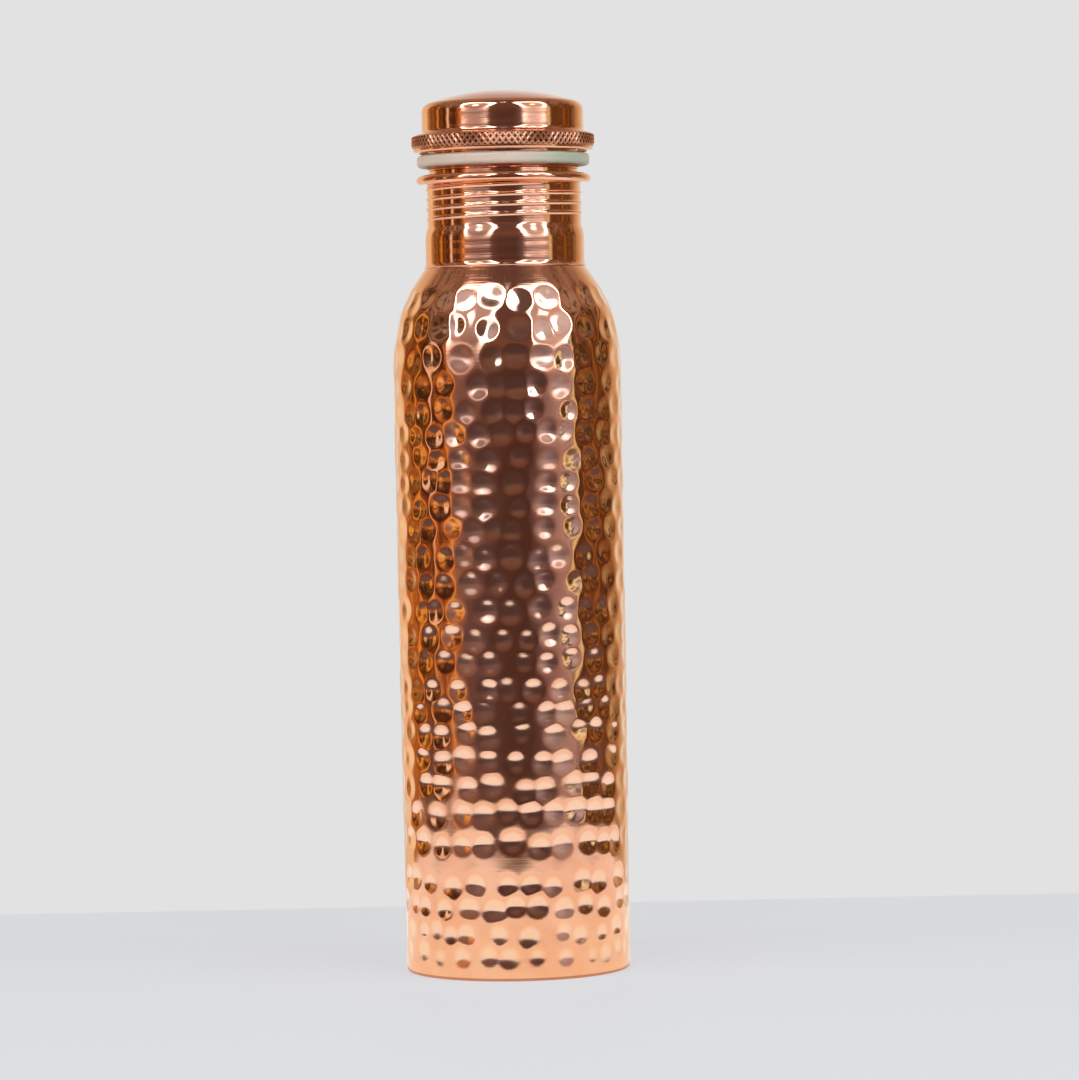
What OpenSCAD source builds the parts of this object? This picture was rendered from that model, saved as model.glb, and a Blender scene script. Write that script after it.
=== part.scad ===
// Hammered copper water bottle with a screw lid, standing upright with the lid part way unscrewed.
// +Z is up, the origin is the centre of the foot on the table, and every size is in millimetres.
// Every copper piece is spun from sheet: one line is its outer skin, and its wall grows inwards.

/* [Body] */
// Widest diameter of the body
body_d = 72; // [70:0.5:75]
// Height at which the wall starts to turn in to the shoulder
shoulder_z = 186; // [176:1:190]
// How much smaller the radius is at the foot than at the widest place
foot_taper = 0.8; // [0.2:0.1:1.2]
// Thickness of the body sheet
body_sheet = 0.9; // [0.7:0.1:1]
// Height of the base plate above the table, at its middle
base_rise = 3.6; // [3:0.1:5]

/* [Neck] */
// Height of the crease where the neck leaves the shoulder
crease_z = 221.5; // [221:0.1:222]
// Diameter of the plain lower part of the neck
neck_d = 50.1; // [50:0.1:50.6]
// Outside diameter of the threaded part, between the ridges
thread_d = 48.4; // [48.2:0.1:48.6]
// Thickness of the neck sheet
neck_sheet = 0.6; // [0.5:0.1:0.7]
// Diameter of the rolled lip
lip_d = 55; // [54.6:0.1:55.4]
// Height of the top of the lip
lip_z = 250.4; // [250.2:0.1:250.6]

/* [Thread] */
// Rise of the thread in one turn
pitch = 3.1; // [3:0.05:3.2]
// How far the rolled ridge stands out of the neck
ridge_h = 0.4; // [0.3:0.05:0.5]
// Depth of the groove that the ridge leaves inside the neck
groove_h = 0.4; // [0.4:0.02:0.44]
// How far the ridge of the plug stands out
plug_ridge_h = 0.4; // [0.3:0.02:0.4]

/* [Lid] */
// Diameter of the lid's plain wall
lid_d = 51; // [50:0.5:52]
// Diameter of the rim under the knurl
rim_d = 56.6; // [56:0.2:57]
// Height of the underside of the rim, with the lid as it is in the photograph
rim_z = 257.4; // [257.2:0.1:257.9]
// Height of the middle of the dome
top_z = 277; // [275:0.5:279]
// Radius of the corner between the wall and the dome
corner_r = 3; // [2:0.5:3.5]
// Thickness of the lid and plug sheet
lid_sheet = 0.8; // [0.6:0.1:0.9]
// Diameter of the plug between its ridges
plug_d = 46.8; // [46.6:0.1:46.8]
// Height of the underside of the plug
plug_z = 239.6; // [239:0.1:240]

/* [Knurl] */
// Diamonds round the rim
knurl_count = 96; // [84:6:120]
// Diamonds and half diamonds from the bottom of the band to its top
knurl_rows = 4; // [2:2:6]
// How far the points of the diamonds stand out
knurl_h = 0.4; // [0.2:0.05:0.5]

/* [Seal] */
// Outside diameter of the silicone ring
ring_d = 54.2; // [53:0.2:55]
// Height of the underside of the ring
ring_z = 252.9; // [252.7:0.1:253.1]
// Height of the ring's section
ring_h = 3.8; // [3.2:0.1:4]

/* [Hidden] */
$fn = 96;

body_r = body_d / 2;
neck_r = neck_d / 2;
thread_r = thread_d / 2;
bore_r = thread_r - neck_sheet;
plug_r = plug_d / 2;
rim_r = rim_d / 2;
lid_r = lid_d / 2;
// Gap that braze or a crimp fills, between pieces of one body
seam = 0.05;
// How deep a ridge is rooted in the wall that carries it
root = 0.3;

// The foot is turned in as a hem, and the body stands on it
hem_r = 1;
hem_w = 1.2;
foot_r = body_r - foot_taper;

// The lip is rolled outwards into an oval bead
bead_r = 1.5;
// The plug has a smaller bead, on which the silicone ring rests
seat_r = 0.55;

// The thread runs between these heights, and crosses the front of the neck at the third
thread_low = 236.3;
thread_high = lip_z - 3.2;
thread_front_z = 237.4;
FRONT = -90;
STEPS_PER_TURN = 36;

// Knurled band on the rim
band_low = rim_z + 1.4;
band_high = rim_z + 5.3;

COPPER = [0.86, 0.48, 0.33];
BRIGHT_COPPER = [0.92, 0.56, 0.40];
SILICONE = [0.93, 0.93, 0.90];

function arc(x, z, r, from, to, steps) =
    [for (i = [0:steps]) let (a = from + (to - from) * i / steps) [x + r * cos(a), z + r * sin(a)]];

function bezier(p, q, r, s, steps) =
    [for (i = [0:steps]) let (t = i / steps, u = 1 - t)
        u * u * u * p + 3 * u * u * t * q + 3 * u * t * t * r + t * t * t * s];

// Direction of a line at one of its points, and the line moved to its left by a thickness
function heading(line, i) =
    let (d = line[min(i + 1, len(line) - 1)] - line[max(i - 1, 0)]) d / norm(d);
function moved_left(line, t) =
    [for (i = [0:len(line) - 1])
        let (h = heading(line, i), p = line[i] + t * [-h.y, h.x]) [max(0, p.x), p.y]];
function reversed(line) = [for (i = [len(line) - 1:-1:0]) line[i]];

// Sheet spun round the axis: the line is its outer skin, drawn so that the wall is on its left
module spun(line, sheet) {
    rotate_extrude() polygon(concat(line, reversed(moved_left(line, sheet))));
}

// Height of the thread helix at an angle round the neck
function thread_z(angle) = thread_front_z + pitch * (angle - FRONT) / 360;
function thread_angle(z) = FRONT + 360 * (z - thread_front_z) / pitch;

// One section of a thread ridge: two points under the surface and two on the crest
function ridge_section(angle, foot, crest, foot_w, crest_w) =
    [for (p = [[foot, -foot_w], [crest, -crest_w], [crest, crest_w], [foot, foot_w]])
        [p.x * cos(angle), p.x * sin(angle), thread_z(angle) + p.y]];

// A ridge along the thread helix, which rises out of the surface at both of its ends
module ridge(from, to, surface, height, foot_w, crest_w, fade = 60) {
    steps = round((to - from) / 360 * STEPS_PER_TURN);
    sections = [for (i = [0:steps]) let (
        a = from + (to - from) * i / steps,
        share = fade == 0 ? 1 : max(0.2, min(1, (a - from) / fade, (to - a) / fade)))
        ridge_section(a, surface - root, surface + share * height, foot_w, crest_w)];
    points = [for (s = sections, p = s) p];
    sides = [for (i = [0:steps - 1], k = [0:3]) let (a = 4 * i + k, b = 4 * i + (k + 1) % 4)
        each [[a, b, b + 4], [a, b + 4, a + 4]]];
    ends = [[3, 2, 1, 0], [for (k = [0:3]) 4 * steps + k]];
    polyhedron(points, concat(sides, ends));
}

// Hammered wall, shoulder and turned-in foot, in one piece of sheet
module body_shell() {
    wall = [for (i = [1:10]) let (z = hem_r + (shoulder_z - hem_r) * i / 11)
        [body_r - foot_taper * pow(1 - z / shoulder_z, 3), z]];
    shoulder = bezier([body_r, shoulder_z], [body_r, shoulder_z + 20], [body_r - 3.8, shoulder_z + 25.5],
        [neck_r + 0.3, crease_z - 0.3], 20);
    foot = concat([[foot_r - hem_r - hem_w, 0]], arc(foot_r - hem_r, hem_r, hem_r, -90, 0, 6));
    color(COPPER) difference() {
        spun(concat(foot, wall, shoulder), body_sheet);
        translate([0, 0, shoulder_z]) cylinder(r = neck_r + seam, h = 60);
    }
}

// Base plate, set up inside the foot and brazed to its hem
module base_plate() {
    edge_r = foot_r - body_sheet - 0.15;
    flange_z = body_sheet + seam;
    plate = [[0, base_rise], [edge_r - 5, base_rise - 0.5], [edge_r - 3.6, base_rise - 0.9],
        [edge_r - 2.4, flange_z + 0.3], [edge_r - 1.8, flange_z], [edge_r, flange_z]];
    color(COPPER) spun(plate, body_sheet);
}

// Neck with a rolled thread, whose ridges stand out on the outside and leave a groove inside
module neck() {
    tube_low = crease_z - 4;
    bead_z = lip_z - bead_r;
    bead_in = bore_r + bead_r;
    bead_out = lip_d / 2 - bead_r;
    tube = concat([[neck_r, tube_low], [neck_r, crease_z + 8]],
        bezier([neck_r, crease_z + 8.2], [neck_r, crease_z + 10.5], [thread_r, crease_z + 10.8],
            [thread_r, crease_z + 13.3], 8), [[thread_r, bead_z]]);
    // Fillet of braze, which carries the shoulder's slope up into the neck
    fillet_r = 2.4;
    fillet = concat([[neck_r - root, crease_z - 0.2], [neck_r + 0.36, crease_z - 0.2]],
        arc(neck_r + fillet_r, crease_z + 1.6, fillet_r, 218, 180, 6), [[neck_r - root, crease_z + 1.6]]);
    color(BRIGHT_COPPER) difference() {
        union() {
            spun(tube, neck_sheet);
            rotate_extrude() union() {
                for (x = [bead_in, bead_out]) translate([x, bead_z]) circle(r = bead_r);
                translate([bead_in, bead_z - bead_r]) square([bead_out - bead_in, 2 * bead_r]);
            }
            rotate_extrude() polygon(fillet);
            ridge(thread_angle(thread_low), thread_angle(thread_high), thread_r, ridge_h, 0.75, 0.3);
        }
        // The groove runs out at the mouth, so that the plug's ridge can be screwed in
        ridge(thread_angle(thread_low - 0.2), thread_angle(lip_z - 0.4), bore_r, groove_h, 0.85, 0.32, 0);
    }
}

// Diamond knurl: the points and the crossings of a lattice round the rim, closed behind
module knurl() {
    around = 2 * knurl_count;
    row_h = (band_high - band_low) / knurl_rows;
    valley_r = rim_r + 0.06;
    function lattice(i, j) = j * around + i % around;
    function is_point(i, j) = (i + j) % 2 == 0 && j > 0 && j < knurl_rows;
    front = [for (j = [0:knurl_rows], i = [0:around - 1])
        let (r = valley_r + (is_point(i, j) ? knurl_h : 0), a = 360 * i / around)
        [r * cos(a), r * sin(a), band_low + j * row_h]];
    back_r = rim_r - lid_sheet / 2;
    back = [for (z = [band_low, band_high], i = [0:around - 1]) let (a = 360 * i / around)
        [back_r * cos(a), back_r * sin(a), z]];
    low = len(front);
    high = low + around;
    facets = [for (j = [0:knurl_rows - 1], i = [0:around - 1])
        let (a = lattice(i, j), b = lattice(i + 1, j), c = lattice(i + 1, j + 1), d = lattice(i, j + 1))
        each (i + j) % 2 == 0 ? [[a, d, b], [b, d, c]] : [[a, c, b], [a, d, c]]];
    rims = [for (i = [0:around - 1]) let (k = (i + 1) % around, top = knurl_rows * around)
        each [[i, k, low + k, low + i], [top + i, high + i, high + k, top + k],
            [low + i, low + k, high + k, high + i]]];
    polyhedron(concat(front, back), concat(facets, rims));
}

// Cap: dome, plain wall, flare and knurled rim, curled in at the bottom to hold the plug's flange
module lid_cap() {
    curl_r = 1;
    rim_top = rim_z + 5.8;
    // The edge of the rim is rounder than its sheet is thick, so the inner skin keeps a bend
    edge_r = lid_sheet + 0.2;
    flare_r = 1.3;
    corner_z = top_z - 6.7;
    // The dome meets the corner along one tangent
    rise = top_z - corner_z;
    corner_x = lid_r - corner_r;
    dome_r = (corner_x * corner_x + rise * rise - corner_r * corner_r) / (2 * (rise - corner_r));
    meet = atan2(corner_x, dome_r - rise);
    skin = concat([[rim_r - curl_r - 0.9, rim_z]],
        arc(rim_r - curl_r, rim_z + curl_r, curl_r, -90, 0, 6),
        arc(rim_r - edge_r, rim_top - edge_r, edge_r, 0, 90, 6),
        reversed(arc(lid_r + flare_r, rim_top + flare_r, flare_r, 180, 270, 6)),
        arc(corner_x, corner_z, corner_r, 0, 90 - meet, 8),
        arc(0, top_z - dome_r, dome_r, 90 - meet * 0.96, 90, 12));
    color(BRIGHT_COPPER) union() {
        spun(skin, lid_sheet);
        knurl();
    }
}

// Plug: a closed cup with a rolled ridge, hung from the flange that the rim is crimped round
module lid_plug() {
    bend_r = 1;
    flange_z = rim_z + lid_sheet + seam;
    cup = concat([[0, plug_z]], arc(plug_r - bend_r, plug_z + bend_r, bend_r, -90, 0, 6),
        reversed(arc(plug_r + bend_r, flange_z - bend_r, bend_r, 90, 180, 6)),
        [[rim_r - lid_sheet - 0.2, flange_z]]);
    color(BRIGHT_COPPER) union() {
        spun(cup, lid_sheet);
        rotate_extrude() translate([plug_r - seat_r / 2, ring_z - 0.8]) circle(r = seat_r);
        ridge(thread_angle(plug_z + 1.4), thread_angle(plug_z + 8.2), plug_r, plug_ridge_h, 0.5, 0.15);
    }
}

// Silicone ring, stretched round the plug between the rim and the lip
module seal_ring() {
    inner_r = plug_r + 0.1;
    outer_r = ring_d / 2;
    round_r = 1.2;
    color(SILICONE) rotate_extrude() union() {
        translate([inner_r, ring_z + round_r]) square([outer_r - inner_r, ring_h - 2 * round_r]);
        translate([inner_r + round_r, ring_z]) square([outer_r - inner_r - 2 * round_r, ring_h]);
        for (x = [inner_r + round_r, outer_r - round_r], z = [ring_z + round_r, ring_z + ring_h - round_r])
            translate([x, z]) circle(r = round_r);
    }
}

body_shell();
base_plate();
neck();
lid_cap();
lid_plug();
seal_ring();
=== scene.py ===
"""Looks of the hammered copper water bottle: skins, materials, studio and camera.

Metres, +Z up, the centre of the foot at the origin, -Y towards the viewer of the photograph.
"""
import math
import random

import bmesh
import bpy
import numpy as np
from mathutils import Matrix, Quaternion, Vector
from mathutils.bvhtree import BVHTree


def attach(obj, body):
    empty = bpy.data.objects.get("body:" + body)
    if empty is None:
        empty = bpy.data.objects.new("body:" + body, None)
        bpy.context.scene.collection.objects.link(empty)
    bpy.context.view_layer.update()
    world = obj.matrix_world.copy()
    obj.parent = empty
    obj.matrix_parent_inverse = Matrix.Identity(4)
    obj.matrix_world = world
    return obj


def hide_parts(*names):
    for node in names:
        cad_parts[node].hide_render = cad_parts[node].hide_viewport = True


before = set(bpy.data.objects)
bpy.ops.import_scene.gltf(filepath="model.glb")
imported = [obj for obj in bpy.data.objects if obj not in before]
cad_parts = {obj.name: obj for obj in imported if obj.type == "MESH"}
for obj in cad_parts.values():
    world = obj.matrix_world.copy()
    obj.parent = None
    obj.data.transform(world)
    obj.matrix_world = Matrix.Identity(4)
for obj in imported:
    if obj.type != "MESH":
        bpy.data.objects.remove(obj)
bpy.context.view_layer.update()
MM = 0.001

# ---------------------------------------------------------------------------------------------
# Image points, in the photograph's frame of 1079 by 1080
# ---------------------------------------------------------------------------------------------

PHOTO_W, PHOTO_H = 1079, 1080
LID_TOP_Y = 91
FOOT_BOTTOM_Y = 980
BODY_LEFT_X = 393
BODY_RIGHT_X = 632
RIM_LEFT = (412, 143)
RIM_RIGHT = (595, 140)
LIP_LEFT = (417, 181)
LIP_RIGHT = (592, 177)
CREASE_LEFT = (427, 268)
CREASE_RIGHT = (587, 265)
LOW_RIDGE_FRONT = (505, 213)
# Marks of the hammer near the middle, which set where their rows begin
FRONT_MARKS = ((513, 482), (512, 530), (497, 583), (524, 662), (507, 690), (516, 763), (508, 885))

# ---------------------------------------------------------------------------------------------
# Sizes, as part.scad has them
# ---------------------------------------------------------------------------------------------

BODY_R = 36 * MM
SHOULDER_Z = 186 * MM
FOOT_TAPER = 0.8 * MM
BODY_SHEET = 0.9 * MM
CREASE_Z = 221.5 * MM
NECK_R = 25.05 * MM
THREAD_R = 24.2 * MM
NECK_SHEET = 0.6 * MM
LIP_R = 27.5 * MM
LIP_Z = 250.4 * MM
PITCH = 3.1 * MM
RIDGE_H = 0.4 * MM
GROOVE_H = 0.4 * MM
THREAD_FRONT_Z = 237.4 * MM
LID_R = 25.5 * MM
RIM_R = 28.3 * MM
RIM_Z = 257.4 * MM
TOP_Z = 277 * MM
LID_CORNER_R = 3 * MM
LID_SHEET = 0.8 * MM
KNURL_COUNT = 96
KNURL_H = 0.4 * MM

# ---------------------------------------------------------------------------------------------
# Camera: settled by the image points, by aim before shift
# ---------------------------------------------------------------------------------------------

CAMERA_PLACE = Vector((0, -1.470, 0.184))
CAMERA_AIM = Vector((0.00912, 0, 0.13523))
CAMERA_ROLL = math.radians(-1.11)
CAMERA_LENS = 155.4
SENSOR = 36


def make_camera():
    data = bpy.data.cameras.new("camera")
    data.sensor_fit = "AUTO"
    data.sensor_width = SENSOR
    data.lens = CAMERA_LENS
    data.clip_start, data.clip_end = 0.05, 20
    camera = bpy.data.objects.new("camera", data)
    bpy.context.scene.collection.objects.link(camera)
    camera.location = CAMERA_PLACE
    camera.rotation_mode = "QUATERNION"
    aim = (CAMERA_AIM - CAMERA_PLACE).to_track_quat("-Z", "Y")
    camera.rotation_quaternion = aim @ Quaternion((0, 0, 1), CAMERA_ROLL)
    bpy.context.scene.camera = camera
    bpy.context.view_layer.update()
    return camera


camera = make_camera()
# Distances along a ray that misses, at which it looks for the nearest place
MISSED_DEPTHS = [1 + 0.005 * step for step in range(200)]


def placed(point, tree):
    """Where a point of the photograph meets a surface. A ray that misses takes the place nearest to it."""
    longest = max(PHOTO_W, PHOTO_H)
    ray = Vector((point[0] - PHOTO_W / 2 + camera.data.shift_x * longest,
                  PHOTO_H / 2 - point[1] + camera.data.shift_y * longest, -longest * CAMERA_LENS / SENSOR))
    ray = (camera.matrix_world.to_3x3() @ ray).normalized()
    hit = tree.ray_cast(CAMERA_PLACE, ray)[0]
    if hit is None:
        nearest = [tree.find_nearest(CAMERA_PLACE + ray * depth) for depth in MISSED_DEPTHS]
        hit = min(nearest, key=lambda found: found[3])[0]
    return hit


# ---------------------------------------------------------------------------------------------
# Outlines
# ---------------------------------------------------------------------------------------------

# Points nearer to each other than the first are one, and points nearer to the axis than the second are on it
TOUCHING, ON_AXIS = 1e-6, 1e-7


def held(value):
    """A value held between 0 and 1."""
    return max(0, min(1, value))


def arc(x, z, r, start, end, steps):
    """Points round a circle in the X Z plane, angles in degrees."""
    angles = [math.radians(start + (end - start) * i / steps) for i in range(steps + 1)]
    return [Vector((x + r * math.cos(a), 0, z + r * math.sin(a))) for a in angles]


def bezier(start, leave, arrive, end, steps):
    """Points of a curve that leaves its start towards one place and reaches its end from another."""
    out = []
    for i in range(steps + 1):
        t = i / steps
        u = 1 - t
        weights = (u ** 3, 3 * u * u * t, 3 * u * t * t, t ** 3)
        x, z = (sum(weight * place for weight, place in zip(weights, places))
                for places in zip(start, leave, arrive, end))
        out.append(Vector((x, 0, z)))
    return out


def straight(x0, z0, x1, z1, steps):
    """Points of a straight line in the X Z plane."""
    return [Vector((x0 + (x1 - x0) * i / steps, 0, z0 + (z1 - z0) * i / steps)) for i in range(steps + 1)]


def joined(*lines):
    """Lines end to end, with a shared end point kept once."""
    out = []
    for point in (p for line in lines for p in line):
        if not out or (point - out[-1]).length > TOUCHING:
            out.append(point)
    return out


def normals(line):
    """The direction to the right of a line at each of its points: outwards, when the wall is on its left."""
    out = []
    for i in range(len(line)):
        d = line[min(i + 1, len(line) - 1)] - line[max(i - 1, 0)]
        out.append(Vector((d.z, 0, -d.x)).normalized())
    return out


def inside(line, sheet):
    """The line moved to its left by the sheet's thickness, never past the axis."""
    out = [p - n * sheet for p, n in zip(line, normals(line))]
    return [Vector((max(0, p.x), 0, p.z)) for p in out]


def thinned(line, step):
    """Every so manieth point of a line, with both of its ends."""
    return line[:1] + line[1:-1:step] + line[-1:]


# ---------------------------------------------------------------------------------------------
# Mesh helpers
# ---------------------------------------------------------------------------------------------

# Edges that turn more than this stay sharp
SHARP = math.radians(50)


def radius(v):
    """How far a vertex is from the axis."""
    return math.hypot(v.co.x, v.co.y)


def push_out(v, distance, r):
    """Moves a vertex away from the axis by a distance that holds at a radius."""
    v.co.x *= 1 + distance / r
    v.co.y *= 1 + distance / r


def spun(outline, columns, closed):
    """A bmesh of an outline spun round the axis. The first column stands at the front."""
    bm = bmesh.new()
    verts = [bm.verts.new(p) for p in outline]
    edges = [bm.edges.new(pair) for pair in zip(verts, verts[1:])]
    if closed:
        edges.append(bm.edges.new((verts[-1], verts[0])))
    bmesh.ops.spin(bm, geom=verts + edges, cent=(0, 0, 0), axis=(0, 0, 1), angle=math.tau, steps=columns,
                   use_merge=True)
    on_axis = [v for v in bm.verts if radius(v) < ON_AXIS]
    bmesh.ops.remove_doubles(bm, verts=on_axis, dist=TOUCHING)
    bmesh.ops.rotate(bm, verts=bm.verts, cent=(0, 0, 0), matrix=Matrix.Rotation(-math.pi / 2, 3, "Z"))
    bmesh.ops.recalc_face_normals(bm, faces=bm.faces)
    return bm


def finished(bm, name, material, body, replaces):
    """Makes the piece of a bmesh, smooth but for its sharp edges, gives it its material, places it on its body and
    hides the part it replaces.
    """
    for face in bm.faces:
        face.smooth = True
    for edge in bm.edges:
        edge.smooth = edge.calc_face_angle(0) < SHARP
    mesh = bpy.data.meshes.new(name)
    bm.to_mesh(mesh)
    bm.free()
    piece = bpy.data.objects.new(name, mesh)
    bpy.context.scene.collection.objects.link(piece)
    mesh.materials.append(material)
    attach(piece, body)
    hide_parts(replaces)
    return piece


# ---------------------------------------------------------------------------------------------
# Node sheets: shader maths as Python expressions
# ---------------------------------------------------------------------------------------------


class Wire:
    """An output of a node, on which sums are written as Python expressions."""

    def __init__(self, sheet, socket):
        self.sheet = sheet
        self.socket = socket

    def math(self, operation, first, second):
        return self.sheet.node("ShaderNodeMath", {"operation": operation}, {0: first, 1: second})

    def __add__(self, other):
        return self.math("ADD", self, other)

    def __sub__(self, other):
        return self.math("SUBTRACT", self, other)

    def __rsub__(self, other):
        return self.math("SUBTRACT", other, self)

    def __mul__(self, other):
        return self.math("MULTIPLY", self, other)

    def __truediv__(self, other):
        return self.math("DIVIDE", self, other)

    def __pow__(self, other):
        return self.math("POWER", self, other)

    def __gt__(self, other):
        return self.math("GREATER_THAN", self, other)

    def __abs__(self):
        return self.math("ABSOLUTE", self, 0.0)

    __radd__ = __add__
    __rmul__ = __mul__


# A colour mix has its share in the first of these sockets and its colours in the others, and this result
MIX_INPUTS, MIX_RESULT = (0, 6, 7), 2


class NodeSheet:
    """The nodes of one material, or of the world."""

    def __init__(self, tree):
        self.tree = tree
        tree.nodes.clear()

    def node(self, kind, settings=None, inputs=None, output=0):
        """Makes any node: its settings first, then the values or wires of its sockets. Returns one output."""
        made = self.tree.nodes.new(kind)
        for name, value in (settings or {}).items():
            if name == "stops":
                self.set_stops(made.color_ramp, value)
            else:
                setattr(made, name, value)
        for name, value in (inputs or {}).items():
            if isinstance(value, Wire):
                self.tree.links.new(value.socket, made.inputs[name])
            else:
                made.inputs[name].default_value = value
        return Wire(self, made.outputs[output] if made.outputs else None)

    def set_stops(self, ramp, stops):
        while len(ramp.elements) < len(stops):
            ramp.elements.new(0.5)
        for element, (place, colour) in zip(ramp.elements, stops):
            element.position = place
            element.color = (*colour, 1) if isinstance(colour, tuple) else (colour, colour, colour, 1)

    def coordinates(self, output="Object"):
        return self.node("ShaderNodeTexCoord", output=output)

    def attribute(self, name):
        return self.node("ShaderNodeAttribute", {"attribute_name": name}, output="Fac")

    def rays(self, *kinds):
        """Which kinds of ray meet the surface: 1 for those that do."""
        path = self.node("ShaderNodeLightPath").socket.node.outputs
        return [Wire(self, path[kind]) for kind in kinds]

    def stretched(self, vector, scale):
        return self.node("ShaderNodeMapping", inputs={"Vector": vector, "Scale": scale})

    def split(self, vector):
        """The X, Y and Z of a vector."""
        parts = self.node("ShaderNodeSeparateXYZ", inputs={"Vector": vector}).socket.node
        return [Wire(self, socket) for socket in parts.outputs]

    def noise(self, vector, scale, detail=2.0, roughness=0.5):
        return self.node("ShaderNodeTexNoise", {"noise_dimensions": "3D"},
                         {"Vector": vector, "Scale": scale, "Detail": detail, "Roughness": roughness})

    def smooth(self, value, low, high, at_low=0.0, at_high=1.0):
        """Runs smoothly from one value to another as the input goes from low to high."""
        return self.node("ShaderNodeMapRange", {"interpolation_type": "SMOOTHSTEP"},
                         {"Value": value, "From Min": low, "From Max": high, "To Min": at_low, "To Max": at_high})

    def mix(self, share, first, second):
        """Mixes two colours."""
        values = [value if isinstance(value, (Wire, float)) else (*value, 1) for value in (share, first, second)]
        return self.node("ShaderNodeMix", {"data_type": "RGBA"}, dict(zip(MIX_INPUTS, values)), MIX_RESULT)

    def bump(self, height, strength, distance):
        return self.node("ShaderNodeBump", inputs={"Strength": strength, "Distance": distance, "Height": height})

    def surface(self, shader, kind="ShaderNodeOutputMaterial"):
        self.node(kind, inputs={"Surface": shader})


def new_material(name):
    material = bpy.data.materials.new(name)
    material.use_nodes = True
    return material, NodeSheet(material.node_tree)


# ---------------------------------------------------------------------------------------------
# Finishes
# ---------------------------------------------------------------------------------------------

COPPER = (0.93, 0.47, 0.29)
DEEP_COPPER = (0.88, 0.39, 0.22)
PALE_COPPER = (0.95, 0.55, 0.38)
# Paler copper painted into the hammer marks: a painted sheen that brightens what they reflect
PAINTED_BOWL_SHEEN = (0.98, 0.66, 0.50)
# Near black copper painted into the knurl's pits as their shade
PAINTED_PIT_SHADE = (0.14, 0.05, 0.022)
# How fast the noises change in X, Y and Z: those of the rings change slowly round the axis and fast along it
FINE_RINGS, BROAD_RINGS, CLOUDS = (40, 40, 4200), (14, 14, 620), 70.0
RING_H = 0.00004
# Heights over which rings as the lathe cut them come in and go out, and how much they add to the others' depth
CUT_BEGINS, CUT_ENDS, CUT_GAIN = (0.2065, 0.2135), (0.2208, 0.2216), 3.5
# Where, between 0 and 1, the attribute of the hammer ends the land and brings in the painted sheen of the marks, and
# how strong that sheen gets
LAND_ENDS, BOWL_SHEEN_RANGE, BOWL_SHEEN_SHARE = (0.06, 0.3), (0.1, 0.6), 0.75
# Where, between 0 and 1, the attribute of the knurl deepens the colour and darkens its pits, both painted shade, and
# how much rougher it is
KNURL_SIDES, KNURL_PITS, KNURL_ROUGHER = (0.05, 0.2), (0.35, 0.85), 0.2


def copper(name, land_rough, struck_rough, fine_depth, broad_depth):
    """Copper polished on a wheel: fine rings round the axis blur what it reflects up and down."""
    material, sheet = new_material(name)
    place = sheet.coordinates()
    fine = sheet.noise(sheet.stretched(place, FINE_RINGS), 1.0, 2.0, 0.6)
    broad = sheet.noise(sheet.stretched(place, BROAD_RINGS), 1.0, 2.0, 0.5)
    cloud = sheet.noise(place, CLOUDS, 4.0, 0.6)
    struck = sheet.attribute("struck")
    groove = sheet.attribute("groove")
    land = sheet.smooth(struck, *LAND_ENDS, 1.0, 0.0)
    # Above the marks the rings are left as the lathe cut them
    z = sheet.split(place)[2]
    cut = sheet.smooth(z, *CUT_BEGINS) * sheet.smooth(z, *CUT_ENDS, 1.0, 0.0)
    height = (fine * fine_depth + broad * broad_depth) * land * (cut * CUT_GAIN + 1)
    bump = sheet.bump(height, 0.5, RING_H)
    tone = sheet.mix(sheet.smooth(cloud, 0.35, 0.7), PALE_COPPER, DEEP_COPPER)
    colour = sheet.mix(0.45, COPPER, tone)
    # Painted sheen: the hammer marks turn to paler copper as they deepen, which brightens their reflections
    colour = sheet.mix(sheet.smooth(struck, *BOWL_SHEEN_RANGE, 0.0, BOWL_SHEEN_SHARE), colour, PAINTED_BOWL_SHEEN)
    # Painted shade: the knurl's copper is deeper all over and near black in its pits
    colour = sheet.mix(sheet.smooth(groove, *KNURL_SIDES, 0.0, 0.6), colour, DEEP_COPPER)
    colour = sheet.mix(sheet.smooth(groove, *KNURL_PITS), colour, PAINTED_PIT_SHADE)
    rough = struck_rough + land * (land_rough - struck_rough) + sheet.smooth(cloud, 0.3, 0.75) * 0.03
    rough = rough + sheet.smooth(groove, *KNURL_SIDES) * KNURL_ROUGHER
    sheet.surface(sheet.node("ShaderNodeBsdfPrincipled", inputs={
        "Base Color": colour, "Metallic": 1.0, "Roughness": rough, "Normal": bump,
        "Anisotropic": 0.85, "Anisotropic Rotation": 0.25}))
    return material


# The silicone's own milky colour, painted pinkish light from the copper round it, and a painted greenish reflection
SILICONE_PALE, SILICONE_COPPER_LIGHT, SILICONE_GREEN_REFLECTION = (0.97, 0.76, 0.59), (0.92, 0.71, 0.55), (0.60, 0.65, 0.48)
# How far to the right of the axis the painted greenish reflection comes in
GREEN_REFLECTION_BY = (0.0, 0.022)
SILICONE_CLOUDS, DUST, DUST_H = 120.0, 2500.0, 0.00003


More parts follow.
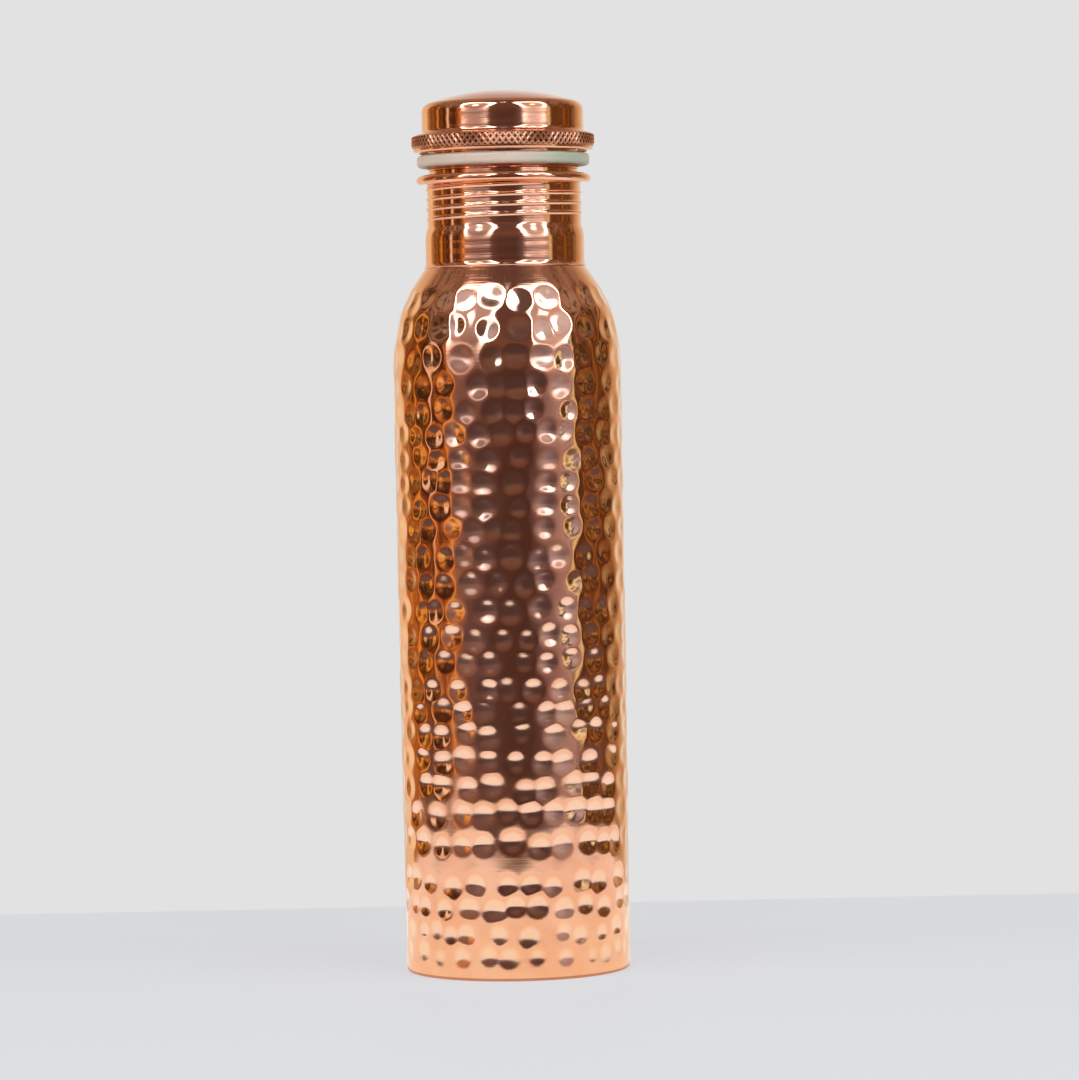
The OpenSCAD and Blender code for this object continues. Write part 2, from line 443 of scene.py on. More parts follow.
def silicone():
    """Milky silicone, with painted pinkish light from the copper round it and a painted greenish reflection on the
    right.
    """
    material, sheet = new_material("silicone")
    place = sheet.coordinates()
    cloud = sheet.noise(place, SILICONE_CLOUDS, 3.0, 0.5)
    x = sheet.split(place)[0]
    # Painted light: pinkish patches from the copper, then a greenish reflection towards the right
    colour = sheet.mix(sheet.smooth(cloud, 0.3, 0.7), SILICONE_PALE, SILICONE_COPPER_LIGHT)
    colour = sheet.mix(sheet.smooth(x, *GREEN_REFLECTION_BY), colour, SILICONE_GREEN_REFLECTION)
    dust = sheet.noise(place, DUST, 2.0, 0.6)
    bump = sheet.bump(dust, 0.2, DUST_H)
    sheet.surface(sheet.node("ShaderNodeBsdfPrincipled", inputs={
        "Base Color": colour, "Roughness": sheet.smooth(dust, 0.2, 0.8, 0.32, 0.46), "Subsurface Weight": 0.5,
        "Subsurface Radius": (0.004, 0.004, 0.003), "Subsurface Scale": 0.5, "Normal": bump}))
    return material


hammered_copper = copper("hammered_copper", land_rough=0.07, struck_rough=0.06, fine_depth=0.25, broad_depth=0.5)
turned_copper = copper("polished_copper", land_rough=0.08, struck_rough=0.08, fine_depth=0.8, broad_depth=2.4)
ring_silicone = silicone()

# ---------------------------------------------------------------------------------------------
# Body: a spun wall, hammered all over but for its foot and the top of its shoulder
# ---------------------------------------------------------------------------------------------

BODY_COLUMNS = 330
WALL_STEPS, SHOULDER_STEPS, LINING_STEP = 228, 46, 18
HEM_R = 1 * MM
HEM_W = 1.2 * MM
# The places that the shoulder's curve leaves towards, comes from and ends at
SHOULDER_RISE = 20 * MM
SHOULDER_LEAVE = (BODY_R, SHOULDER_Z + SHOULDER_RISE)
SHOULDER_ARRIVE = (BODY_R - 3.8 * MM, SHOULDER_Z + 25.5 * MM)
SHOULDER_END = (NECK_R + 0.3 * MM, CREASE_Z - 0.3 * MM)
MARKS_ROUND = 27
# Heights of the rows of marks in millimetres, from the foot up
MARK_ROWS = (7.8, 14.9, 22.9, 31.9, 42.4, 51.7, 59.7, 68.1, 76.5, 83.6, 90.7, 99.1, 106.2, 114.6, 122.3, 131, 139.3,
             146.5, 154.2, 161.6, 169.1, 176.5, 184.6, 192.9, 202.2, 211)
MARK_R = 4.45 * MM
MARK_DEPTH = 0.45 * MM
MARK_SEED = 11
# A row starts from a mark of the photograph that lies this near to its height
ROW_REACH = 4 * MM
# How unequal the gaps of a row are, how far a mark drifts up or down, and how unequal sizes, widths and depths are
GAPS, DRIFT = (0.66, 1.34), (-1, 1)
SIZES, WIDTHS, DEPTHS = (0.88, 1.1), (0.97, 1.1), (0.8, 1.2)
# How much larger marks are on the shoulder
SHOULDER_GAIN = 0.12
# Low marks are shallow: the share of the full depth, the height of such a row in millimetres, and how much higher
# the full depth is reached
LOW_DEPTH, LOW_ROW, LOW_RISE = 0.62, 8, 16
# Where marks overlap the deeper one shows. The power by which they are joined decides how sharply they meet
MARK_POWER = 4
# The wall between the marks isn't quite round either: waves round it, the height of one in metres, and its start
WAVES = ((13, 0.031, 0.4), (17, -0.023, 2.1), (9, 0.047, 4.0), (21, 0.038, 5.3))
WAVE_H = 0.12 * MM
# Where the waves start and end, and over what height they come in and go out
WAVES_LOW_Z, WAVES_COME = 2 * MM, 6 * MM
WAVES_HIGH_Z, WAVES_GO = CREASE_Z - 6 * MM, 12 * MM


def body_wall():
    """The outer skin from the foot's corner to the shoulder's edge."""
    foot_r = BODY_R - FOOT_TAPER
    wall = []
    for i in range(WALL_STEPS + 1):
        z = HEM_R + (SHOULDER_Z - HEM_R) * i / WALL_STEPS
        wall.append(Vector((BODY_R - FOOT_TAPER * (1 - z / SHOULDER_Z) ** 3, 0, z)))
    shoulder = bezier((BODY_R, SHOULDER_Z), SHOULDER_LEAVE, SHOULDER_ARRIVE, SHOULDER_END, SHOULDER_STEPS)
    foot = [Vector((foot_r - HEM_R - HEM_W, 0, 0))] + arc(foot_r - HEM_R, HEM_R, HEM_R, -90, 0, 5)
    return joined(foot, wall, shoulder)


def hammer_marks(up_skin, seen):
    """Every stroke of the hammer: angle, distance up the wall, half width, half height and depth.

    The strokes lie in rows, and their places in a row drift as a hand's do. Where a row starts comes from the mark
    of it that is seen in the photograph.
    """
    rng = random.Random(MARK_SEED)
    marks = []
    for row in MARK_ROWS:
        along = up_skin(row * MM)
        gaps = [rng.uniform(*GAPS) for _ in range(MARKS_ROUND)]
        angle = rng.uniform(0, math.tau)
        known = [place for place in seen if abs(place.z - row * MM) < ROW_REACH]
        if known:
            angle = math.atan2(known[0].y, known[0].x) - gaps[0] * math.tau / sum(gaps)
            along = up_skin(known[0].z)
        gain = 1 + SHOULDER_GAIN * held((row * MM - SHOULDER_Z) / SHOULDER_RISE)
        full = LOW_DEPTH + (1 - LOW_DEPTH) * held((row - LOW_ROW) / LOW_RISE)
        for number, gap in enumerate(gaps):
            angle += gap * math.tau / sum(gaps)
            size = rng.uniform(*SIZES) * gain
            drift = 0 if known and number == 0 else rng.uniform(*DRIFT) * MM
            marks.append((angle, along + drift, MARK_R * size * rng.uniform(*WIDTHS), MARK_R * size,
                          MARK_DEPTH * size * full * rng.uniform(*DEPTHS)))
    return marks


def hammer(mesh, skin, seen):
    """Strikes the marks into the outer skin and writes how deep each place is struck as an attribute."""
    places = np.zeros(len(mesh.vertices) * 3)
    mesh.vertices.foreach_get("co", places)
    places = places.reshape(-1, 3)
    x, y, z = places.T
    r = np.hypot(x, y)
    heights = np.array([p.z for p in skin])
    radii = np.array([p.x for p in skin])
    steps = np.hypot(np.diff(heights), np.diff(radii))
    along_skin = np.concatenate(([0], np.cumsum(steps))) + heights[0]
    outer = np.abs(r - np.interp(z, heights, radii)) < BODY_SHEET / 4
    # The hem stays as it is
    outer &= z > HEM_R * 0.9
    angle = np.arctan2(y, x)
    along = np.interp(z, heights, along_skin)
    sums = np.zeros(len(r))
    marks = hammer_marks(lambda height: np.interp(height, heights, along_skin), seen)
    for mark_angle, mark_along, half_w, half_h, depth in marks:
        near = np.nonzero(outer & (np.abs(along - mark_along) < half_h))[0]
        turn = (angle[near] - mark_angle + math.pi) % math.tau - math.pi
        inside_mark = 1 - (turn * r[near] / half_w) ** 2 - ((along[near] - mark_along) / half_h) ** 2
        sums[near] += (depth * np.maximum(inside_mark, 0) ** 2) ** MARK_POWER
    struck = sums ** (1 / MARK_POWER)
    waves = sum(np.sin(count * angle + math.tau * z / length + start) for count, length, start in WAVES)
    skin_out = normals(skin)
    out_r = np.interp(z, heights, np.array([n.x for n in skin_out]))
    out_z = np.interp(z, heights, np.array([n.z for n in skin_out]))
    fade = np.clip((z - WAVES_LOW_Z) / WAVES_COME, 0, 1) * np.clip((WAVES_HIGH_Z - z) / WAVES_GO, 0, 1)
    # A wave sinks the wall and never raises it
    sunk = np.where(outer, struck + WAVE_H * (waves / len(WAVES) + 1) * fade, 0)
    places[:, 0] -= sunk * out_r * x / r
    places[:, 1] -= sunk * out_r * y / r
    places[:, 2] -= sunk * out_z
    mesh.vertices.foreach_set("co", places.ravel())
    share = mesh.attributes.new("struck", "FLOAT", "POINT")
    share.data.foreach_set("value", np.clip(struck / MARK_DEPTH, 0, 1))
    mesh.update()


def make_body():
    """The hammered body, and the places on it of the marks that the photograph shows."""
    skin = body_wall()
    lining = inside(thinned(skin, LINING_STEP), BODY_SHEET)
    bm = spun(skin + lining[::-1], BODY_COLUMNS, closed=True)
    bare_wall = BVHTree.FromBMesh(bm)
    body = finished(bm, "hammered_body", hammered_copper, "bottle", "body_shell")
    seen = [placed(point, bare_wall) for point in FRONT_MARKS]
    hammer(body.data, skin, seen)
    return body, seen


# ---------------------------------------------------------------------------------------------
# Neck: plain tube, rolled thread and a lip rolled outwards
# ---------------------------------------------------------------------------------------------

NECK_COLUMNS = 192
NECK_LOW_Z = CREASE_Z - 4 * MM
# The fillet of the crease: its radius, how far out it starts, and how high it reaches
FILLET_R, FILLET_OUT, FILLET_H = 2.4 * MM, 0.36 * MM, 1.6 * MM
FILLET_Z = CREASE_Z - 0.2 * MM
PLAIN_HIGH_Z = CREASE_Z + 8 * MM
# The heights of the waist's curve from the plain part to the thread
WAIST_Z = [CREASE_Z + rise * MM for rise in (8.2, 11.7, 11.9, 13.3)]
BEAD_R = 1.5 * MM
RIDGE_HALF_W = 0.75 * MM
# The higher this power, the narrower the thread's crest
CREST_POWER = 1.5
THREAD_LOW_Z = 236.3 * MM
THREAD_HIGH_Z = LIP_Z - 3.2 * MM
GROOVE_HIGH_Z = LIP_Z - 0.4 * MM
THREAD_FADE = math.radians(60)
# The wheel leaves the plain part slightly waved: the depth and the height of a wave
NECK_WAVE_H, NECK_WAVE_L = 0.015 * MM, 3.1 * MM


def thread_bump(angle, z, high):
    """How far the rolled thread stands out at an angle round the neck and a height, from 0 to 1."""
    front = angle + math.pi / 2
    turn = round((z - THREAD_FRONT_Z) / PITCH - front / math.tau)
    helix = front + turn * math.tau
    off = z - THREAD_FRONT_Z - PITCH * helix / math.tau
    start = (THREAD_LOW_Z - THREAD_FRONT_Z) / PITCH * math.tau
    end = (high - THREAD_FRONT_Z) / PITCH * math.tau
    if abs(off) > RIDGE_HALF_W:
        return 0
    ends = held(min(helix - start, end - helix) / THREAD_FADE)
    return ends * math.cos(off / RIDGE_HALF_W * math.pi / 2) ** CREST_POWER


def make_neck():
    bore_r = THREAD_R - NECK_SHEET
    bead_z = LIP_Z - BEAD_R
    bead_in, bead_out = bore_r + BEAD_R, LIP_R - BEAD_R
    # Where the oval bead meets the outside of the tube
    under = math.acos((THREAD_R - bead_in) / BEAD_R)
    threaded_low, threaded_high = WAIST_Z[-1], bead_z - BEAD_R * math.sin(under)
    hidden = straight(NECK_R, NECK_LOW_Z, NECK_R, FILLET_Z, 2)
    fillet = joined([Vector((NECK_R + FILLET_OUT, 0, FILLET_Z))],
                    arc(NECK_R + FILLET_R, CREASE_Z + FILLET_H, FILLET_R, 218, 180, 8))
    plain = straight(NECK_R, CREASE_Z + FILLET_H, NECK_R, PLAIN_HIGH_Z, 20)
    waist = bezier(*zip((NECK_R, NECK_R, THREAD_R, THREAD_R), WAIST_Z), 12)
    threaded = straight(THREAD_R, threaded_low, THREAD_R, threaded_high, 68)
    bead = joined(arc(bead_in, bead_z, BEAD_R, -math.degrees(under), -90, 3),
                  arc(bead_out, bead_z, BEAD_R, -90, 90, 16), arc(bead_in, bead_z, BEAD_R, 90, 180, 9))
    bore = straight(bore_r, bead_z, bore_r, threaded_low, 74)
    foot = [Vector((p.x - NECK_SHEET, 0, p.z)) for p in reversed(waist)]
    end = [Vector((NECK_R - NECK_SHEET, 0, NECK_LOW_Z))]
    bm = spun(joined(hidden, fillet, plain, waist, threaded, bead, bore, foot, end), NECK_COLUMNS, closed=True)
    for v in bm.verts:
        r = radius(v)
        angle = math.atan2(v.co.y, v.co.x)
        outside = r > THREAD_R - NECK_SHEET / 2
        if THREAD_LOW_Z - PITCH < v.co.z < (threaded_high if outside else GROOVE_HIGH_Z):
            rise = thread_bump(angle, v.co.z, THREAD_HIGH_Z if outside else LIP_Z + PITCH)
            push_out(v, rise * (RIDGE_H if outside else GROOVE_H), r)
        elif v.co.z > CREASE_Z + 0.3 * MM and r > NECK_R - NECK_SHEET / 2:
            wave = math.sin(math.tau * v.co.z / NECK_WAVE_L + 0.9 * math.sin(3 * angle + 1))
            push_out(v, wave * NECK_WAVE_H * (0.6 + 0.4 * math.sin(5 * angle)), NECK_R)
    return finished(bm, "threaded_neck", turned_copper, "bottle", "neck")


# ---------------------------------------------------------------------------------------------
# Lid cap: dome, plain wall, flare and knurled rim
# ---------------------------------------------------------------------------------------------

# Radii of the rim's curled foot, of its upper edge and of the flare above it
CURL_R, EDGE_R, FLARE_R = 1 * MM, LID_SHEET + 0.2 * MM, 1.3 * MM
RIM_TOP_Z = RIM_Z + 5.8 * MM
LID_CORNER_Z = TOP_Z - 6.7 * MM
# The wheel leaves the lid's wall slightly waved: the depth and the height of a wave
LID_WAVE_H, LID_WAVE_L = 0.012 * MM, 4.2 * MM
# Heights of the rows of the knurl's lattice, and how far all of it stands out of the rim
LATTICE = [RIM_Z + 1.4 * MM + row * MM for row in (0, 1, 2.25, 3.5, 3.9)]
LATTICE_OUT = 0.06 * MM
# The knurl's attribute where its lines cross. It is 1 in the pits
CROSSING_GROOVE = 0.3


def make_cap():
    rise = TOP_Z - LID_CORNER_Z
    corner_x = LID_R - LID_CORNER_R
    dome_r = (corner_x ** 2 + rise ** 2 - LID_CORNER_R ** 2) / (2 * (rise - LID_CORNER_R))
    meet = math.degrees(math.atan2(corner_x, dome_r - rise))
    skin = joined(
        straight(RIM_R - CURL_R - 0.9 * MM, RIM_Z, RIM_R - CURL_R, RIM_Z, 2),
        arc(RIM_R - CURL_R, RIM_Z + CURL_R, CURL_R, -90, 0, 10),
        [Vector((RIM_R, 0, row)) for row in LATTICE],
        arc(RIM_R - EDGE_R, RIM_TOP_Z - EDGE_R, EDGE_R, 38, 90, 7),
        arc(LID_R + FLARE_R, RIM_TOP_Z + FLARE_R, FLARE_R, 270, 180, 8),
        straight(LID_R, RIM_TOP_Z + FLARE_R, LID_R, LID_CORNER_Z, 16),
        arc(corner_x, LID_CORNER_Z, LID_CORNER_R, 0, 90 - meet, 14),
        arc(0, TOP_Z - dome_r, dome_r, 90 - meet, 90, 24))
    lining = inside(thinned(skin, 3), LID_SHEET)
    bm = spun(skin + lining[::-1], 2 * KNURL_COUNT, closed=False)
    bmesh.ops.bridge_loops(bm, edges=[e for e in bm.edges if e.is_boundary])
    bmesh.ops.recalc_face_normals(bm, faces=bm.faces)
    # The knurling wheel leaves a net of raised lines round diamond pits
    groove = bm.verts.layers.float.new("groove")
    crossings = set()
    for v in bm.verts:
        r = radius(v)
        angle = math.atan2(v.co.y, v.co.x)
        row = min(range(len(LATTICE)), key=lambda i: abs(LATTICE[i] - v.co.z))
        if abs(r - LID_R) < 0.01 * MM and v.co.z > RIM_TOP_Z + FLARE_R:
            wave = math.sin(math.tau * v.co.z / LID_WAVE_L + math.sin(4 * angle + 2) + 0.6 * math.sin(11 * angle))
            push_out(v, LID_WAVE_H * wave, r)
        if r > RIM_R - LID_SHEET / 2 and abs(LATTICE[row] - v.co.z) < 0.05 * MM:
            column = round((angle + math.tau) / (math.pi / KNURL_COUNT))
            crossing = (column + row) % 2 == 1
            if crossing:
                crossings.add(v)
            v[groove] = CROSSING_GROOVE if crossing else 1
            push_out(v, LATTICE_OUT + (KNURL_H if crossing and 0 < row < len(LATTICE) - 1 else 0), r)
    # Every face of the net is folded along the line from one crossing to the next
    for face in [f for f in bm.faces if sum(v in crossings for v in f.verts) == 2
                 and LATTICE[0] < f.calc_center_median().z < LATTICE[-1]]:
        bmesh.utils.face_split(face, *[v for v in face.verts if v in crossings])
    cap = finished(bm, "knurled_cap", turned_copper, "lid", "lid_cap")
    for face in cap.data.polygons:
        if LATTICE[0] < face.center.z < LATTICE[-1] and math.hypot(face.center.x, face.center.y) > RIM_R:
            face.use_smooth = False
    return cap


body, front_marks = make_body()
neck = make_neck()
cap = make_cap()
# These pieces, hidden or plain, keep the meshes of part.scad
for node, finish in (("base_plate", turned_copper), ("lid_plug", turned_copper), ("seal_ring", ring_silicone)):
    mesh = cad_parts[node].data
    mesh.materials.clear()
    mesh.materials.append(finish)

# ---------------------------------------------------------------------------------------------
# Studio: pale floor and wall to the camera, three soft lamps, and a room that only the metal sees
# ---------------------------------------------------------------------------------------------

WALL = (0.76, 0.76, 0.76)
PAPER = (0.80, 0.80, 0.80)
PAPER_ROUGH = 0.6
# The light of the room on what doesn't shine
ROOM_LIGHT = (0.25, 0.25, 0.25)
CEILING, CEILING_ASIDE = (0.13, 0.085, 0.08), (0.37, 0.25, 0.18)
SHADOW = (0.045, 0.022, 0.015)
LAMPLIGHT, WARM_LIGHT = (1.00, 0.46, 0.09), (0.17, 0.10, 0.075)
# What the room's walls show to the metal, by the angle round the bottle in degrees: 0 is straight ahead of it,
# towards the camera, and a positive angle is on the camera's right. The first colour is above the horizon of what
# the metal sees and the second below it. A ramp of Blender holds no more than these 32
ROOM = (
    (-180, (0.82, 0.84, 0.84), (0.82, 0.84, 0.84)), (-154, (0.80, 0.69, 0.50), (0.78, 0.68, 0.50)),
    (-137, (0.95, 0.74, 0.42), (1.00, 0.80, 0.50)), (-131, (0.50, 0.32, 0.15), (0.55, 0.34, 0.17)),
    (-125, (0.36, 0.19, 0.06), (0.38, 0.16, 0.04)), (-108, (0.22, 0.09, 0.02), (0.50, 0.20, 0.04)),
    (-105, (1.00, 0.52, 0.10), (1.00, 0.50, 0.10)), (-101, (0.12, 0.05, 0.012), (0.34, 0.12, 0.03)),
    (-94, (0.08, 0.03, 0.008), (0.48, 0.19, 0.05)), (-88, (0.08, 0.03, 0.01), (0.20, 0.07, 0.02)),
    (-86, (1.00, 0.78, 0.58), (1.00, 0.58, 0.24)), (-83, (1.00, 0.78, 0.58), (1.00, 0.58, 0.24)),
    (-81, (0.08, 0.03, 0.012), (0.34, 0.12, 0.03)), (-69, (0.12, 0.045, 0.015), (0.52, 0.20, 0.06)),
    (-63, (0.85, 0.36, 0.08), (1.00, 0.60, 0.20)), (-57, (0.24, 0.14, 0.10), (0.36, 0.22, 0.18)),
    (-46, (0.25, 0.165, 0.15), (0.14, 0.09, 0.09)), (-24, (0.15, 0.10, 0.10), (0.095, 0.065, 0.07)),
    (-8, (0.09, 0.054, 0.047), (0.085, 0.05, 0.045)), (17, (0.08, 0.05, 0.048), (0.078, 0.048, 0.045)),
    (29, (0.20, 0.155, 0.17), (0.12, 0.08, 0.09)), (46, (0.42, 0.36, 0.38), (0.29, 0.23, 0.25)),
    (65, (0.55, 0.49, 0.53), (0.44, 0.38, 0.42)), (67.5, (1.00, 0.97, 0.66), (1.00, 0.96, 0.60)),
    (71, (1.00, 0.94, 0.56), (0.90, 0.80, 0.42)), (72.5, (0.08, 0.045, 0.025), (0.08, 0.045, 0.025)),
    (93, (0.25, 0.12, 0.035), (0.28, 0.14, 0.05)), (110, (0.11, 0.05, 0.014), (0.24, 0.11, 0.04)),
    (128, (0.52, 0.35, 0.17), (0.46, 0.32, 0.15)), (140, (0.70, 0.52, 0.30), (0.66, 0.50, 0.30)),
    (151, (0.80, 0.72, 0.56), (0.78, 0.71, 0.56)), (180, (0.82, 0.84, 0.84), (0.82, 0.84, 0.84)))
# Where the parts of the room run into each other. A height is that of a direction, -1 straight down and 1 straight
# up. A turn is a share of a whole turn, from straight ahead to either side
HORIZON_Z, CEILING_Z, CEILING_HIGHER_BEHIND = (-0.08, 0.03), (0.04, 0.6), 0.16
CEILING_TURN, BEHIND_TURN, PAPER_BEHIND_Z = (0.1, 0.25), (0.25, 0.3), (-0.34, -0.22)
SIDES_BEGIN, SIDES_END = (0.15, 0.18), (0.34, 0.38)
WARM_BEGINS_Z, WARM_ENDS_Z, WARM_ENDS_TURN = (0.03, 0.2), (0.24, 0.5), (0.07, 0.13)
# Dark and lit things at the sides: how fine they are across and up, how strongly they show by the value of a noise,
# and how that changes with the height
THINGS_ACROSS, THINGS_UP = 12, 1.6
DARK_THINGS, LIT_THINGS = (0.50, 0.58, 0.0, 0.9), (0.33, 0.40, 0.7, 0.0)
DARK_BY_Z, LIT_BY_Z = (-0.08, 0.0, 0.45, 1.0), (-0.08, 0.02, 1.0, 0.45)

FLOOR_HALF_W, FLOOR_FRONT, FLOOR_BACK = 1.0, -0.345, 0.18
# The floor to the camera, the share of it that no shadow darkens, and the floor to the metal, with the painted warm
# light that the copper throws by the foot and the hem's shade
FLOOR_SEEN, FLOOR_GLOW = (0.79, 0.80, 0.82), 0.7
FLOOR_IN_METAL, PAINTED_WARM_BY_FOOT, HEM_SHADE = (1.0, 1.0, 1.0), (1.0, 0.95, 0.80), (0.60, 0.46, 0.38)
# Distances from the axis over which the painted warm light by the foot turns into the floor's colour, and over which
# the shade ends
WARM_BY_FOOT_FADE, HEM_FADE = (0.05, 0.3), (0.036, 0.041)
# Half width of the sheet of white paper that the metal sees under the bottle
PAPER_HALF_W = 0.45


def make_floor():
    """Pale to the camera, with the bottle's shadow, and bright to the metal."""
    bm = bmesh.new()
    bmesh.ops.create_grid(bm, x_segments=1, y_segments=1, size=0.5)
    bmesh.ops.scale(bm, vec=(2 * FLOOR_HALF_W, FLOOR_BACK - FLOOR_FRONT, 1), verts=bm.verts)
    bmesh.ops.translate(bm, vec=(0, (FLOOR_BACK + FLOOR_FRONT) / 2, 0), verts=bm.verts)
    mesh = bpy.data.meshes.new("floor")
    bm.to_mesh(mesh)
    bm.free()
    floor = bpy.data.objects.new("floor", mesh)
    bpy.context.scene.collection.objects.link(floor)
    material, sheet = new_material("floor")
    seen, gloss = sheet.rays("Is Camera Ray", "Is Glossy Ray")
    x, y, _ = sheet.split(sheet.coordinates())
    beyond = abs(x) > PAPER_HALF_W
    # Close to the foot the bottle's own shade dims what its hem shows
    away = (x * x + y * y) ** 0.5
    # Painted warm light, such as the copper throws on the floor near the foot, in what the metal sees
    in_metal = sheet.mix(sheet.smooth(away, *WARM_BY_FOOT_FADE), PAINTED_WARM_BY_FOOT, FLOOR_IN_METAL)
    in_metal = sheet.mix(sheet.smooth(away, *HEM_FADE), HEM_SHADE, in_metal)
    matt = sheet.node("ShaderNodeBsdfPrincipled", inputs={"Base Color": (*PAPER, 1), "Roughness": PAPER_ROUGH})
    glow = sheet.node("ShaderNodeEmission", inputs={
        "Color": sheet.mix(gloss * beyond, sheet.mix(gloss, FLOOR_SEEN, in_metal), CEILING)})
    sheet.surface(sheet.node("ShaderNodeMixShader", inputs={
        0: seen * FLOOR_GLOW + gloss, 1: matt, 2: glow}))
    mesh.materials.append(material)


LAMP_COLOUR = (0.9, 0.96, 1.1)
# Levels of a lamp's cloth, by how far in from its edges: its outermost edge, a bright band with dim cloth inside it,
# and the bulb behind its middle
CLOTH_EDGE, CLOTH_BAND, BULB = (0.0, 0.12), (0.24, 0.46, 1.0, 0.055), (0.95, 1.0, 0.0, 0.8)
CLOTH_LOWEST = 0.04
LAMP_AIM = Vector((0, 0, SHOULDER_Z + 40 * MM))
# The soft lamps: the angles round the bottle and above its shoulder at which one stands, its distance, width and
# height, its level where 1 is white, and over what share of its height it fades downwards
SOFTBOXES = (
    ("left_softbox", -40, 29.5, 0.95, 0.76, 0.98, 8, 0.55),
    ("right_softbox", 46, 29, 0.95, 0.68, 0.96, 8, 0.34),
    ("small_softbox", 2, 56, 1.0, 0.09, 0.09, 5, 0.1))


def softbox(name, around, rise, distance, width, height, level, fade):
    """Makes a soft lamp that faces the bottle."""
    data = bpy.data.lights.new(name, "AREA")
    data.shape = "RECTANGLE"
    data.size, data.size_y = width, height
    data.energy = level * math.pi * width * height
    data.color = LAMP_COLOUR
    data.use_nodes = True
    sheet = NodeSheet(data.node_tree)
    across, up, _ = sheet.split(sheet.node("ShaderNodeNewGeometry", output="Parametric"))
    # 0 at the edges and 1 in the middle
    inwards = across * (1 - across) * up * (1 - up) * 16
    band = sheet.smooth(inwards, *CLOTH_EDGE) * sheet.smooth(inwards, *CLOTH_BAND)
    strength = (band + sheet.smooth(inwards, *BULB)) * sheet.smooth(up, 0.0, fade, CLOTH_LOWEST, 1.0)
    sheet.surface(sheet.node("ShaderNodeEmission", inputs={"Strength": strength}), "ShaderNodeOutputLight")
    lamp = bpy.data.objects.new(name, data)
    bpy.context.scene.collection.objects.link(lamp)
    around, rise = math.radians(around), math.radians(rise)
    away = Vector((math.sin(around) * math.cos(rise), -math.cos(around) * math.cos(rise), math.sin(rise)))
    lamp.location = LAMP_AIM + away * distance
    lamp.rotation_mode = "QUATERNION"
    lamp.rotation_quaternion = away.to_track_quat("Z", "Y")


def make_world():
    """Pale to the camera. To the metal it is a dark room with a pale wall behind the bottle."""
    world = bpy.data.worlds.new("world")
    bpy.context.scene.world = world
    world.use_nodes = True
    sheet = NodeSheet(world.node_tree)
    x, y, z = sheet.split(sheet.coordinates("Generated"))
    # The share of a whole turn from straight ahead, to the camera's left or right
    turn = x.math("ARCTAN2", x, 0 - y) / math.tau
    places = [(angle + 180) / 360 for angle, _, _ in ROOM]
    above, below = [sheet.node("ShaderNodeValToRGB", {"stops": list(zip(places, colours))}, {"Fac": turn + 0.5})
                    for colours in list(zip(*ROOM))[1:]]
    walls = sheet.mix(sheet.smooth(z, *HORIZON_Z), below, above)
    # Dark and lit things stand here and there along the walls at the sides
    away = abs(turn)
    sides = sheet.smooth(away, *SIDES_BEGIN) * sheet.smooth(away, *SIDES_END, 1.0, 0.0)
    things = sheet.noise(sheet.node("ShaderNodeCombineXYZ", inputs={0: turn * THINGS_ACROSS, 1: z * THINGS_UP}), 6.0)
    dark = sheet.smooth(things, *DARK_THINGS) * sheet.smooth(z, *DARK_BY_Z)
    lit = sheet.smooth(things, *LIT_THINGS) * sheet.smooth(z, *LIT_BY_Z)
    walls = sheet.mix(lit * sides, walls, LAMPLIGHT)
    ceiling = sheet.mix(sheet.smooth(away, *CEILING_TURN), CEILING, CEILING_ASIDE)
    behind = sheet.smooth(away, *BEHIND_TURN)
    room = sheet.mix(sheet.smooth(z - behind * CEILING_HIGHER_BEHIND, *CEILING_Z), walls, ceiling)
    room = sheet.mix(dark * sides, room, SHADOW)
    # A warm light stands low in front, and shows only in the marks
    warm = sheet.smooth(z, *WARM_BEGINS_Z) * sheet.smooth(z, *WARM_ENDS_Z, 1.0, 0.0)
    room = sheet.mix(warm * sheet.smooth(away, *WARM_ENDS_TURN, 1.0, 0.0), room, WARM_LIGHT)
    # Behind the bottle the paper goes on
    room = sheet.mix(behind * sheet.smooth(z, *PAPER_BEHIND_Z, 1.0, 0.0), room, PAPER)
    seen, gloss = sheet.rays("Is Camera Ray", "Is Glossy Ray")
    colour = sheet.mix(gloss, ROOM_LIGHT, room)
    colour = sheet.mix(seen, colour, WALL)
    sheet.surface(sheet.node("ShaderNodeBackground", inputs={"Color": colour, "Strength": 1.0}),
                  "ShaderNodeOutputWorld")


make_floor()
make_world()
for box in SOFTBOXES:
    softbox(*box)
bpy.context.scene.view_settings.view_transform = "Standard"

# ---------------------------------------------------------------------------------------------
# Where things show, against the image points
# ---------------------------------------------------------------------------------------------


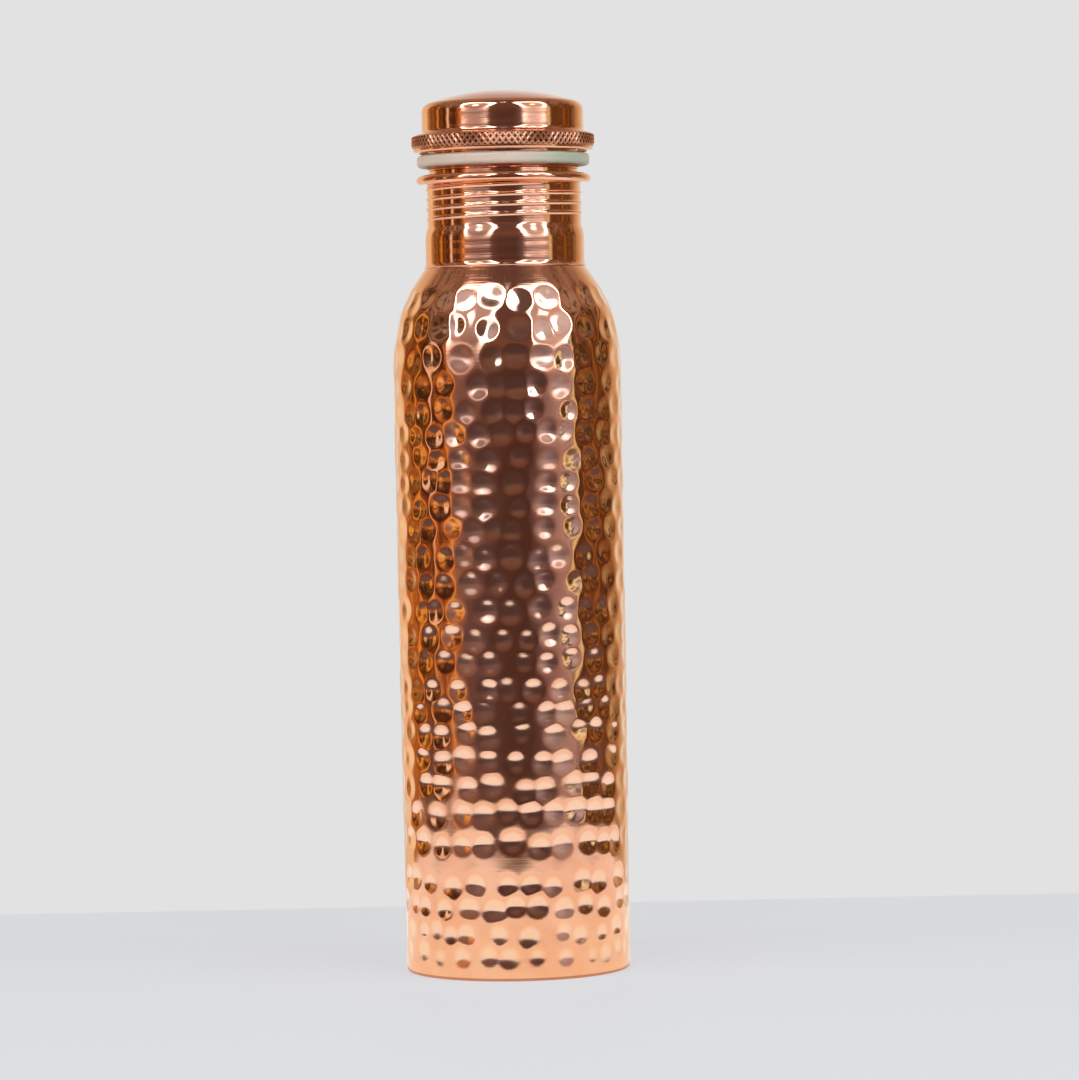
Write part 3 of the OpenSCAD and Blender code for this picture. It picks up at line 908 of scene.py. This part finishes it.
def seen_at(point):
    """Where a point shows in the photograph's frame."""
    local = camera.matrix_world.inverted() @ Vector(point)
    scale = max(PHOTO_W, PHOTO_H) * CAMERA_LENS / SENSOR / -local.z
    return PHOTO_W / 2 + local.x * scale, PHOTO_H / 2 - local.y * scale


def outline_of(*pieces, low=-1.0, high=1.0):
    """The places where the vertices of pieces show, between two heights."""
    return [seen_at(v.co) for p in pieces for v in p.data.vertices if low < v.co.z < high]


def struck_at(place):
    """Where the deepest part of the mark at a place shows."""
    depth = body.data.attributes["struck"].data
    deep = [(depth[v.index].value, v.co) for v in body.data.vertices if (v.co - place).length < 2.5 * MM]
    share = sum(d ** 4 for d, co in deep)
    return seen_at(sum((co * d ** 4 for d, co in deep), Vector()) / share)


def write_points():
    whole = outline_of(body, neck, cap)
    rim = outline_of(cap, low=RIM_Z + 2 * MM, high=RIM_Z + 5 * MM)
    lip = outline_of(neck, low=LIP_Z - 2 * BEAD_R)
    crease = outline_of(neck, low=CREASE_Z - 0.5 * MM, high=CREASE_Z + 1.5 * MM)
    ridge = seen_at((0, -THREAD_R - RIDGE_H, THREAD_FRONT_Z))
    left, right = min, max
    off = {
        "lid_top_y": left(p[1] for p in whole) - LID_TOP_Y,
        "foot_bottom_y": right(p[1] for p in whole) - FOOT_BOTTOM_Y,
        "body_left_x": left(p[0] for p in whole) - BODY_LEFT_X,
        "body_right_x": right(p[0] for p in whole) - BODY_RIGHT_X,
        "rim_left": [a - b for a, b in zip(left(rim), RIM_LEFT)],
        "rim_right": [a - b for a, b in zip(right(rim), RIM_RIGHT)],
        "lip_left": [a - b for a, b in zip(left(lip), LIP_LEFT)],
        "lip_right": [a - b for a, b in zip(right(lip), LIP_RIGHT)],
        "crease_left": [a - b for a, b in zip(left(crease), CREASE_LEFT)],
        "crease_right": [a - b for a, b in zip(right(crease), CREASE_RIGHT)],
        "low_ridge_front": [a - b for a, b in zip(ridge, LOW_RIDGE_FRONT)],
    }
    for number, (point, place) in enumerate(zip(FRONT_MARKS, front_marks)):
        off["front_mark_%d" % (number + 1)] = [a - b for a, b in zip(struck_at(place), point)]


write_points()
